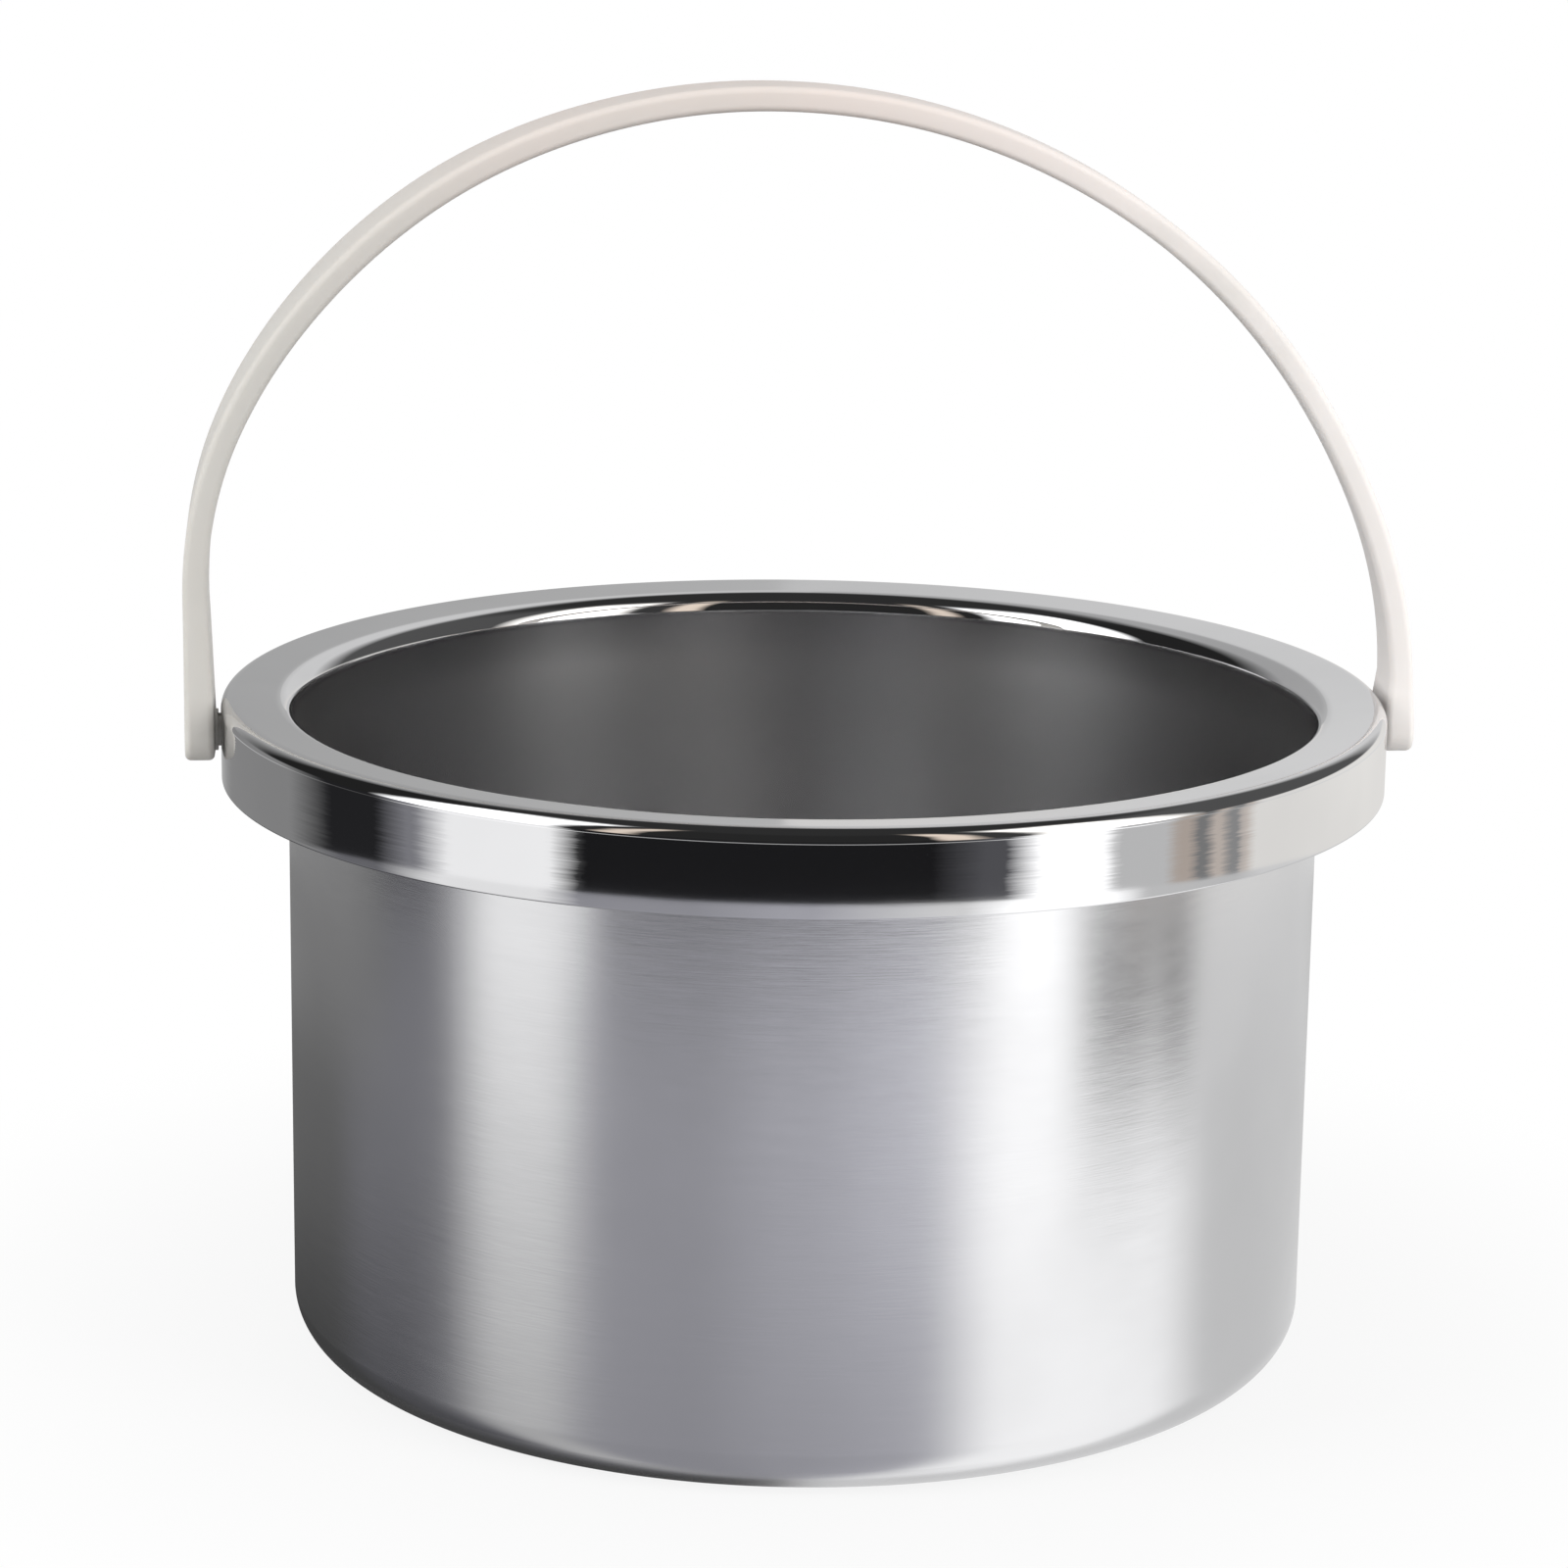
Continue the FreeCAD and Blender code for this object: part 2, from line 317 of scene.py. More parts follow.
def turnedShellTree():
    tree, given, result = newTree("turnedShell", "GeometryNodeTree", [
        ("Section", "NodeSocketGeometry", None),
        ("Section Points", "NodeSocketInt", 100),
        ("Steps Around", "NodeSocketInt", 400),
        ("Hole Radius", "NodeSocketFloat", 0.00175),
        ("Hole Height", "NodeSocketFloat", 0.0641),
        ("Rim Radius", "NodeSocketFloat", 0.06),
        ("Inside Radius", "NodeSocketFloat", 0.05285),
        ("Inside Top", "NodeSocketFloat", 0.065),
        ("Metal", "NodeSocketMaterial", None),
        ("Inside Metal", "NodeSocketMaterial", None),
    ], [("Shell", "NodeSocketGeometry", None)])
    section = given.outputs["Section"]
    steps = given.outputs["Steps Around"]
    grid, column, row = gridWithPlaces(tree, calc(tree, "ADD", steps, 1.0),
                                       given.outputs["Section Points"])
    angle = calc(tree, "MULTIPLY", column, calc(tree, "DIVIDE", math.tau, steps))
    place = addNode(tree, "GeometryNodeInputPosition").outputs[0]
    parts = separated(tree, sampleAt(tree, "FLOAT_VECTOR", section, place, row))
    turned = combined(tree, X=calc(tree, "MULTIPLY", parts["X"], calc(tree, "COSINE", angle)),
                      Y=calc(tree, "MULTIPLY", parts["X"], calc(tree, "SINE", angle)),
                      Z=parts["Z"])
    polish = namedValue(tree, "polish", "FLOAT", section, row)
    marked = addNode(tree, "GeometryNodeStoreNamedAttribute",
                     {"data_type": "FLOAT", "domain": "POINT"},
                     {"Geometry": grid, "Name": "polish", "Value": polish})
    closed = movedAndMerged(tree, marked.outputs[0], turned, pot["mergeGap"])
    drill = addNode(tree, "GeometryNodeMeshCylinder", None, {
        "Vertices": pot["drillSides"], "Radius": given.outputs["Hole Radius"],
        "Depth": pot["drillLength"] * mm})
    drills = addNode(tree, "GeometryNodeJoinGeometry")
    for side in (-1.0, 1.0):
        spot = combined(tree, X=calc(tree, "MULTIPLY", given.outputs["Rim Radius"], side),
                        Z=given.outputs["Hole Height"])
        moved = addNode(tree, "GeometryNodeTransform", None, {
            "Geometry": drill.outputs["Mesh"], "Translation": spot,
            "Rotation": (0, math.pi / 2, 0)})
        tree.links.new(moved.outputs[0], drills.inputs[0])
    cut = boolean(tree, "DIFFERENCE", closed, drills.outputs[0])
    outside = dressed(tree, cut, pot["creaseAngle"], given.outputs["Metal"])
    # the floor and the wall below the buffed lip take the inside metal
    middle = separated(tree, place)
    fromAxis = vectorCalc(tree, "LENGTH", combined(tree, X=middle["X"], Y=middle["Y"]))
    within = calc(tree, "LESS_THAN", fromAxis, given.outputs["Inside Radius"])
    above = calc(tree, "GREATER_THAN", middle["Z"], pot["gauge"] / 2 * mm)
    below = calc(tree, "LESS_THAN", middle["Z"], given.outputs["Inside Top"])
    lined = addNode(tree, "GeometryNodeSetMaterial", None, {
        "Geometry": outside, "Material": given.outputs["Inside Metal"],
        "Selection": calc(tree, "MULTIPLY", within, calc(tree, "MULTIPLY", above, below))})
    tree.links.new(lined.outputs[0], result.inputs[0])
    return tree


def makePot(metal, insideMetal):
    section = sheetOutline()
    points = [(r * mm, 0, z * mm) for r, z in section]
    polish = [polishOf(r, z) for r, z in section]
    seed = polyline("sheetSection", points, {"polish": ("FLOAT", polish)})
    piece = meshFromNodes("potSheet", seed, turnedShellTree(), {
        "Section Points": len(points),
        "Steps Around": pot["stepsAround"],
        "Hole Radius": pot["holeRadius"] * mm,
        "Hole Height": pot["pivotHeight"] * mm,
        "Rim Radius": pot["rimRadius"] * mm,
        "Inside Radius": (pot["openingRadius"] + pot["gauge"] / 2) * mm,
        "Inside Top": (pot["height"] - pot["polishDepth"]) * mm,
        "Metal": metal,
        "Inside Metal": insideMetal,
    })
    print("pot sheet:", len(piece.data.polygons), "faces")
    return piece


# the bail is one moulded strip with a paddle and a split peg at each end
bail = {
    "pivotHeight": pot["pivotHeight"],
    "legMiddle": 62.35,      # pivot plane to the middle of the strip
    "rise": 65.3,
    "crownShift": -5.7,
    "leftLeg": 14.0,
    "rightLeg": 5.0,
    "shoulderTurn": 66.0,
    "stripWidth": 7.8,
    "stripThick": 2.5,
    "paddleWidth": 8.8,
    "paddleThick": 3.0,
    "paddleFlat": 1.0,
    "paddleDrop": 2.7,       # below the pivot
    "paddleCorner": 2.2,
    "edgeRound": 0.7,
    "stationGap": 1.1,
    "endTurn": 9,            # degrees from station to station where the end is rounded
    "edgeSteps": 8,
    "mergeGap": 0.002,
    "creaseAngle": 35.0,
    # how the soft strip has set, along its length from the left pivot (0) to the right one (1)
    "setPlaces": [0, 0.04, 0.08, 0.16, 0.24, 0.32, 0.42, 0.54, 0.68, 0.8, 0.9, 0.96, 1],
    "setOutward": [0, -0.02, 0.02, 0.35, 0.07, -0.23, -0.64, -0.38, -0.21, -0.32, -0.53, -0.25, 0],
    "setTwist": [0, 0, -0.1, -3.8, -5.7, -4.9, -1.4, -0.3, -0.7, -2.6, -4.3, -2.5, 0],
    "collarRadius": 2.15,
    "collarStart": 60.3,
    "neckRadius": 1.70,
    "barbBack": 59.0,
    "barbCone": 58.5,
    "barbTip": 56.8,
    "barbRadius": 2.30,
    "barbTipRadius": 1.40,
    "slotWidth": 1.1,
    "neckInBarb": 0.1,       # the neck runs on into the barb and into the collar
    "neckInCollar": 0.2,
    "cutMargin": 1.0,        # how far the cutting blocks reach past what they cut
    "pegSides": 64,
}


def naturalCurve(places, values, at):
    # natural cubic through the given values
    x, y, at = (np.array(v, float) for v in (places, values, at))
    n = len(x)
    h = np.diff(x)
    system = np.eye(n)
    right = np.zeros(n)
    for i in range(1, n - 1):
        system[i, i - 1:i + 2] = (h[i - 1], 2 * (h[i - 1] + h[i]), h[i])
        right[i] = 6 * ((y[i + 1] - y[i]) / h[i] - (y[i] - y[i - 1]) / h[i - 1])
    curve = np.linalg.solve(system, right)
    k = np.clip(np.searchsorted(x, at) - 1, 0, n - 2)
    a, b, w = x[k + 1] - at, at - x[k], h[k]
    return (curve[k] * a**3 + curve[k + 1] * b**3) / (6 * w) \
        + (y[k] / w - curve[k] * w / 6) * a + (y[k + 1] / w - curve[k + 1] * w / 6) * b


def archLine():
    # middle line from the left pivot over the crown to the right pivot, with its outward direction
    turn = math.radians(bail["shoulderTurn"])
    corner = bail["paddleCorner"]
    straight = bail["paddleDrop"] - corner
    halves = []
    for side, legHeight in ((-1, bail["leftLeg"]), (1, bail["rightLeg"])):
        reach = bail["legMiddle"] - side * bail["crownShift"]
        rise = bail["rise"] - legHeight
        difference = (reach - rise) / (math.sin(turn) + math.cos(turn) - 1)
        shoulder = reach - difference * math.sin(turn)
        crown = rise + difference * math.cos(turn)
        shoulderX = bail["crownShift"] + side * (reach - shoulder)
        points, outward = [], []
        for radius, cx, cz, first, last in (
            (crown, bail["crownShift"], bail["rise"] - crown, 0, turn),
            (shoulder, shoulderX, legHeight, turn, math.pi / 2),
        ):
            steps = math.ceil(radius * (last - first) / bail["stationGap"])
            for a in np.linspace(first, last, steps + 1)[(1 if points else 0):]:
                points.append((cx + side * radius * math.sin(a), cz + radius * math.cos(a)))
                outward.append((side * math.sin(a), math.cos(a)))
        steps = math.ceil(legHeight / bail["stationGap"])
        levels = list(np.linspace(legHeight, bail["paddleFlat"], steps))[1:] + [0.0]
        levels += [-straight - corner * math.sin(math.radians(a))
                   for a in range(0, 91, bail["endTurn"])]
        levels.append(levels[-1])   # this one closes the end
        for z in levels:
            points.append((side * bail["legMiddle"], z))
            outward.append((side, 0.0))
        halves.append((points, outward))
    (leftPoints, leftOut), (rightPoints, rightOut) = halves
    return (np.array(leftPoints[::-1] + rightPoints[1:]), np.array(leftOut[::-1] + rightOut[1:]))


def sectionSize(z, legHeight):
    # half thickness, half width, rounding and half thickness before the end is rounded over
    flat, rounding, corner = bail["paddleFlat"], bail["edgeRound"], bail["paddleCorner"]
    thin = min(1.0, max(0.0, (z - flat) / (legHeight - flat)))
    halfThick = (bail["paddleThick"] + (bail["stripThick"] - bail["paddleThick"]) * thin) / 2
    halfWide = (bail["paddleWidth"] + (bail["stripWidth"] - bail["paddleWidth"]) * thin) / 2
    whole = halfThick
    intoCorner = -z - (bail["paddleDrop"] - corner)
    if intoCorner > 0:
        halfWide += math.sqrt(max(0.0, corner ** 2 - intoCorner ** 2)) - corner
    intoEdge = -z - (bail["paddleDrop"] - rounding)
    if intoEdge > 0:
        rounding = math.sqrt(max(0.0, rounding ** 2 - intoEdge ** 2))
        halfThick += rounding - bail["edgeRound"]
    return halfThick, halfWide, rounding, whole


def bailStations():
    # place, outward and across directions, half sizes and rounding of every section along the strip
    line, outward = archLine()
    run = np.concatenate([[0], np.cumsum(np.linalg.norm(np.diff(line, axis=0), axis=1))])
    drop = bail["paddleDrop"]
    along = np.clip((run - drop) / (run[-1] - 2 * drop), 0, 1)
    push = naturalCurve(bail["setPlaces"], bail["setOutward"], along)
    twist = np.radians(naturalCurve(bail["setPlaces"], bail["setTwist"], along))
    points, outs, acrosses, sizes = [], [], [], []
    for i, ((x, z), (ox, oz)) in enumerate(zip(line, outward)):
        legHeight = bail["leftLeg" if x < 0 else "rightLeg"]
        halfThick, halfWide, rounding, whole = sectionSize(z, legHeight)
        n = np.array((ox, 0, oz))
        y = np.array((0, 1.0, 0))
        c, s = math.cos(twist[i]), math.sin(twist[i])
        inset = bail["stripThick"] / 2 - whole
        points.append((np.array((x, 0, z + bail["pivotHeight"])) + n * (push[i] + inset)) * mm)
        outs.append(n * c + y * s)
        acrosses.append(y * c - n * s)
        last = i in (0, len(line) - 1)
        sizes.append((0, 0, 0) if last else (halfThick * mm, halfWide * mm, rounding * mm))
    return points, outs, acrosses, sizes


def sectionCorners():
    # one turn round a rounded rectangle, as which corner and which direction from its centre
    signs, directions = [], []
    steps = bail["edgeSteps"]
    for quarter, (su, sv) in enumerate(((1, 1), (-1, 1), (-1, -1), (1, -1))):
        for step in range(steps + 1):
            angle = math.radians(90 * quarter + 90 * step / steps)
            signs.append((su, sv, 0))
            directions.append((math.cos(angle), math.sin(angle), 0))
    return signs, directions


def snapPeg(tree):
    # collar, neck and split barb of the right side, lying along x at the height of the origin
    def disc(start, end, radius, topRadius=None):
        kind = addNode(tree, "GeometryNodeMeshCone", None, {
            "Vertices": bail["pegSides"], "Radius Top": (topRadius or radius) * mm,
            "Radius Bottom": radius * mm, "Depth": (end - start) * mm})
        return addNode(tree, "GeometryNodeTransform", None, {
            "Geometry": kind.outputs["Mesh"], "Translation": (start * mm, 0, 0),
            "Rotation": (0, math.pi / 2, 0)}).outputs[0]

    def block(start, end, width, height):
        cube = addNode(tree, "GeometryNodeMeshCube", None,
                       {"Size": ((end - start) * mm, width * mm, height * mm)})
        return addNode(tree, "GeometryNodeTransform", None, {
            "Geometry": cube.outputs["Mesh"],
            "Translation": ((start + end) / 2 * mm, 0, 0)}).outputs[0]

    tip, cone, back = bail["barbTip"], bail["barbCone"], bail["barbBack"]
    collarStart, margin = bail["collarStart"], bail["cutMargin"]
    across = 2 * bail["barbRadius"] + margin
    barbRim = disc(cone, back, bail["barbRadius"])
    barbNose = disc(tip, cone, bail["barbTipRadius"], bail["barbRadius"])
    hook = boolean(tree, "UNION", barbRim, barbNose)
    flats = block(tip - margin, back + margin, across, 2 * bail["neckRadius"])
    hook = boolean(tree, "INTERSECT", hook, flats)
    neck = disc(back - bail["neckInBarb"], collarStart + bail["neckInCollar"], bail["neckRadius"])
    collar = disc(collarStart, bail["legMiddle"], bail["collarRadius"])
    peg = boolean(tree, "UNION", hook, neck, collar)
    slot = block(tip - margin, collarStart, bail["slotWidth"], across)
    return boolean(tree, "DIFFERENCE", peg, slot)


def mouldedBailTree():
    tree, given, result = newTree("mouldedBail", "GeometryNodeTree", [
        ("Stations", "NodeSocketGeometry", None),
        ("Station Count", "NodeSocketInt", 100),
        ("Section", "NodeSocketObject", None),
        ("Section Count", "NodeSocketInt", 36),
        ("Pivot Height", "NodeSocketFloat", 0.0641),
        ("Plastic", "NodeSocketMaterial", None),
    ], [("Bail", "NodeSocketGeometry", None)])
    stations = given.outputs["Stations"]
    ring = given.outputs["Section Count"]
    section = addNode(tree, "GeometryNodeObjectInfo", {"transform_space": "ORIGINAL"},
                      {"Object": given.outputs["Section"]}).outputs["Geometry"]
    grid, station, row = gridWithPlaces(tree, given.outputs["Station Count"],
                                        calc(tree, "ADD", ring, 1.0))
    corner = calc(tree, "MODULO", row, ring)
    place = addNode(tree, "GeometryNodeInputPosition").outputs[0]
    strip = sampleAt(tree, "FLOAT_VECTOR", stations, place, station)
    size, sign, way = (
        separated(tree, namedValue(tree, name, "FLOAT_VECTOR", source, spot))
        for name, source, spot in (("halfSize", stations, station), ("sign", section, corner),
                                   ("way", section, corner)))
    rounding = size["Z"]
    for axis, direction in (("X", "outward"), ("Y", "across")):
        straight = calc(tree, "MULTIPLY", sign[axis], calc(tree, "SUBTRACT", size[axis], rounding))
        reach = calc(tree, "ADD", straight, calc(tree, "MULTIPLY", way[axis], rounding))
        towards = namedValue(tree, direction, "FLOAT_VECTOR", stations, station)
        strip = vectorCalc(tree, "ADD", strip, scaled(tree, towards, reach))
    whole = movedAndMerged(tree, grid, strip, bail["mergeGap"])
    peg = snapPeg(tree)
    atPivot = combined(tree, Z=given.outputs["Pivot Height"])
    for angle in (0.0, math.pi):
        moved = addNode(tree, "GeometryNodeTransform", None,
                        {"Geometry": peg, "Translation": atPivot, "Rotation": (0, 0, angle)})
        whole = boolean(tree, "UNION", whole, moved.outputs[0])
    finished = dressed(tree, whole, bail["creaseAngle"], given.outputs["Plastic"])
    tree.links.new(finished, result.inputs[0])
    return tree


def makeBail(plastic):
    points, outs, acrosses, sizes = bailStations()
    seed = polyline("bailStations", points, {
        "outward": ("FLOAT_VECTOR", outs),
        "across": ("FLOAT_VECTOR", acrosses),
        "halfSize": ("FLOAT_VECTOR", sizes),
    })
    signs, ways = sectionCorners()
    ringMesh = polyline("bailSection", [(0, 0, i * mm) for i in range(len(signs))],
                        {"sign": ("FLOAT_VECTOR", signs), "way": ("FLOAT_VECTOR", ways)})
    ring = bpy.data.objects.new("bailSection", ringMesh)
    scene.collection.objects.link(ring)
    piece = meshFromNodes("milkyBail", seed, mouldedBailTree(), {
        "Station Count": len(points),
        "Section": ring,
        "Section Count": len(signs),
        "Pivot Height": bail["pivotHeight"] * mm,
        "Plastic": plastic,
    })
    bpy.data.objects.remove(ring)
    print("bail:", len(piece.data.polygons), "faces")
    return piece


def lathedGrainGroup():
    # fine marks that run round the axis: no seam, because the pattern is laid on a circle
    tree, given, result = newTree("lathedGrain", "ShaderNodeTree", [
        ("Lines Up", "NodeSocketFloat", 9000.0),
        ("Lines Round", "NodeSocketFloat", 6.0),
        ("Detail", "NodeSocketFloat", 3.0),
    ], [("Marks", "NodeSocketFloat", None)])
    parts = separated(tree, objectPlace(tree))
    level = combined(tree, X=parts["X"], Y=parts["Y"])
    radius = vectorCalc(tree, "LENGTH", level)
    circle = vectorCalc(tree, "NORMALIZE", level)
    wrapped = separated(tree, scaled(tree, circle, given.outputs["Lines Round"]))
    climb = calc(tree, "MULTIPLY", calc(tree, "ADD", parts["Z"], radius), given.outputs["Lines Up"])
    noise = addNode(tree, "ShaderNodeTexNoise", None, {
        "Vector": combined(tree, X=wrapped["X"], Y=wrapped["Y"], Z=climb), "Scale": 1.0,
        "Detail": given.outputs["Detail"], "Roughness": 0.6})
    tree.links.new(noise.outputs["Fac"], result.inputs[0])
    return tree


def tinySpecksGroup():
    # sparse small spots: 1 inside a spot
    tree, given, result = newTree("tinySpecks", "ShaderNodeTree", [
        ("Cells", "NodeSocketFloat", 60.0),
        ("Share", "NodeSocketFloat", 0.1),
        ("Size", "NodeSocketFloat", 0.04),
    ], [("Spots", "NodeSocketFloat", None)])
    cells = addNode(tree, "ShaderNodeTexVoronoi", {"feature": "F1"},
                    {"Vector": objectPlace(tree), "Scale": given.outputs["Cells"]})
    chosen = addNode(tree, "ShaderNodeSeparateColor", None, {0: cells.outputs["Color"]})
    keep = calc(tree, "LESS_THAN", chosen.outputs[0], given.outputs["Share"])
    inside = softStep(tree, cells.outputs["Distance"], given.outputs["Size"],
                      calc(tree, "MULTIPLY", given.outputs["Size"], 0.5))
    tree.links.new(calc(tree, "MULTIPLY", keep, inside), result.inputs[0])
    return tree


def cloudGroup():
    # broad uneven tone
    tree, given, result = newTree("cloudiness", "ShaderNodeTree", [
        ("Scale", "NodeSocketFloat", 30.0),
    ], [("Clouds", "NodeSocketFloat", None)])
    noise = addNode(tree, "ShaderNodeTexNoise", None, {
        "Vector": objectPlace(tree), "Scale": given.outputs["Scale"], "Detail": 3.0})
    tree.links.new(noise.outputs["Fac"], result.inputs[0])
    return tree


def sideStreakGroup():
    # leans the normal a little to the side in lines round the axis, so mirrored edges look ragged
    tree, given, result = newTree("sideStreaks", "ShaderNodeTree", [
        ("Lines Up", "NodeSocketFloat", 3000.0),
        ("Lines Round", "NodeSocketFloat", 8.0),
        ("Lean", "NodeSocketFloat", 0.1),
    ], [("Normal", "NodeSocketVector", None)])
    marks = useGroup(tree, lathedGrain, {
        "Lines Up": given.outputs["Lines Up"], "Lines Round": given.outputs["Lines Round"]})
    normal = addNode(tree, "ShaderNodeNewGeometry").outputs["Normal"]
    side = vectorCalc(tree, "CROSS_PRODUCT", (0, 0, 1), normal)
    amount = calc(tree, "MULTIPLY", calc(tree, "SUBTRACT", marks, 0.5), given.outputs["Lean"])
    leant = vectorCalc(tree, "ADD", normal, scaled(tree, side, amount))
    tree.links.new(vectorCalc(tree, "NORMALIZE", leant), result.inputs[0])
    return tree


def newMaterial(name):
    material = bpy.data.materials.new(name)
    material.use_nodes = True
    tree = material.node_tree
    shader = tree.nodes["Principled BSDF"]
    return material, tree, shader


def useGroup(tree, group, inputs):
    return addNode(tree, "ShaderNodeGroup", {"node_tree": group}, inputs).outputs[0]


lathedGrain = lathedGrainGroup()
tinySpecks = tinySpecksGroup()
cloudiness = cloudGroup()
sideStreaks = sideStreakGroup()

metalLook = {
    "tone": (0.80, 0.80, 0.81, 1),
    "shade": (0.74, 0.74, 0.75, 1),
    "speckTone": (0.10, 0.10, 0.10, 1),
    "grain": {"Lines Up": 7000.0, "Lines Round": 5.0},
    "streaks": {"Lines Up": 900.0, "Lines Round": 9.0, "Detail": 4.0},
    "clouds": {"Scale": 35.0},
    "cloudEdge": (0.35, 0.7),
    "specks": {"Cells": 55.0, "Share": 0.10, "Size": 0.03},
    "speckRoughness": 0.3,
    "streakRoughness": 0.4,     # share of the roughness
    "streakHeight": 2.0,        # times the grain's
    "polishedRoughness": 0.02,
    "polishedDepth": 0.01,
    "skirtEdge": (0.0585, 0.0598),
    "skirtLines": 5000.0,
    "skirtLean": 0.04,
    "bump": {"Strength": 0.10, "Distance": 0.00002},
}
# satin roughness, anisotropy, the way it lies and how deep the marks are on each side of the sheet
outsideSatin = (0.17, 0.5, 0.0, 1.0)
insideSatin = (0.27, 0.35, 0.25, 0.05)


def drawnAluminium(name, satin):
    satinRoughness, anisotropy, rotation, depth = satin
    look = metalLook
    material, tree, shader = newMaterial(name)
    polish = addNode(tree, "ShaderNodeAttribute", {"attribute_name": "polish"}).outputs["Fac"]
    grain = useGroup(tree, lathedGrain, look["grain"])
    streaks = useGroup(tree, lathedGrain, look["streaks"])
    clouds = useGroup(tree, cloudiness, look["clouds"])
    specks = useGroup(tree, tinySpecks, look["specks"])
    shaded = softStep(tree, clouds, *look["cloudEdge"])
    tone = blendColour(tree, shaded, look["tone"], look["shade"])
    tone = blendColour(tree, specks, tone, look["speckTone"])
    base = blendNumber(tree, polish, satinRoughness, look["polishedRoughness"])
    uneven = calc(tree, "MULTIPLY", calc(tree, "SUBTRACT", streaks, 0.5),
                  look["streakRoughness"] * depth)
    rough = calc(tree, "MULTIPLY", base, calc(tree, "ADD", uneven, 1.0))
    rough = calc(tree, "ADD", rough, calc(tree, "MULTIPLY", specks, look["speckRoughness"]))
    marks = calc(tree, "ADD", grain, calc(tree, "MULTIPLY", streaks, look["streakHeight"]))
    marks = calc(tree, "MULTIPLY", marks, blendNumber(tree, polish, depth, look["polishedDepth"]))
    level = vectorCalc(tree, "MULTIPLY", objectPlace(tree), (1, 1, 0))
    onSkirt = softStep(tree, vectorCalc(tree, "LENGTH", level), *look["skirtEdge"])
    leant = useGroup(tree, sideStreaks, {
        "Lines Up": look["skirtLines"], "Lean": calc(tree, "MULTIPLY", onSkirt, look["skirtLean"])})
    bump = addNode(tree, "ShaderNodeBump", None, {"Height": marks, "Normal": leant, **look["bump"]})
    feed(tree, shader, {
        "Base Color": tone, "Metallic": 1.0, "Roughness": rough, "Anisotropic": anisotropy,
        "Anisotropic Rotation": rotation, "Normal": bump.outputs[0]})
    return material


plasticLook = {
    "tone": (0.62, 0.555, 0.52, 1),
    # painted light and shade: the bail's colour is lighter on the right, where more lamp light
    # falls, and greyer on the left, where less falls; the greyer tone also tints the random clouds
    "paintedLitTone": (0.73, 0.70, 0.68, 1),
    "paintedShadeAndCloudTone": (0.53, 0.515, 0.485, 1),
    "speckTone": (0.18, 0.15, 0.13, 1),
    "paintedLightToRight": (-0.01, 0.06),
    "paintedShadeToLeft": (-0.01, -0.06),
    "clouds": {"Scale": 60.0},
    "cloudEdge": (0.4, 0.75),
    "cloudTone": 0.35,
    "cloudRoughness": 0.2,
    "specks": {"Cells": 90.0, "Share": 0.012, "Size": 0.05},
    "roughness": 0.42,
    "fine": {"Scale": 900.0},
    "bump": {"Strength": 0.05, "Distance": 0.00002},
    "scatter": {"Subsurface Weight": 0.3, "Subsurface Radius": (1.0, 0.9, 0.8),
                "Subsurface Scale": 0.0012, "IOR": 1.49, "Specular IOR Level": 0.3},
}


def milkyPlastic():
    look = plasticLook
    material, tree, shader = newMaterial("milkyPlastic")
    sideways = separated(tree, objectPlace(tree))["X"]
    clouds = useGroup(tree, cloudiness, look["clouds"])
    fine = useGroup(tree, cloudiness, look["fine"])
    specks = useGroup(tree, tinySpecks, look["specks"])
    # painted light and shade: the colour turns lighter towards the right of the bail and greyer
    # towards the left, as the lamps light it
    paintedLightToRight = softStep(tree, sideways, *look["paintedLightToRight"])
    paintedShadeToLeft = softStep(tree, sideways, *look["paintedShadeToLeft"])
    tone = blendColour(tree, paintedLightToRight, look["tone"], look["paintedLitTone"])
    tone = blendColour(tree, paintedShadeToLeft, tone, look["paintedShadeAndCloudTone"])
    clouded = calc(tree, "MULTIPLY", softStep(tree, clouds, *look["cloudEdge"]), look["cloudTone"])
    tone = blendColour(tree, clouded, tone, look["paintedShadeAndCloudTone"])
    tone = blendColour(tree, specks, tone, look["speckTone"])
    uneven = calc(tree, "MULTIPLY", calc(tree, "SUBTRACT", clouds, 0.5), look["cloudRoughness"])
    rough = calc(tree, "ADD", look["roughness"], uneven)
    bump = addNode(tree, "ShaderNodeBump", None, {"Height": fine, **look["bump"]})
    feed(tree, shader, {
        "Base Color": tone, "Metallic": 0.0, "Roughness": rough, "Normal": bump.outputs[0],
        **look["scatter"]})
    return material


metal = drawnAluminium("drawnAluminium", outsideSatin)
insideMetal = drawnAluminium("insideAluminium", insideSatin)
plastic = milkyPlastic()

potSheet = makePot(metal, insideMetal)
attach(potSheet, "pot_body")
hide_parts("pot")

milkyBail = makeBail(plastic)
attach(milkyBail, "bail")
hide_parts("bail_handle")


def grey(value):
    return (value, value, value)


def cool(value):
    return (value, value, 1.09 * value)


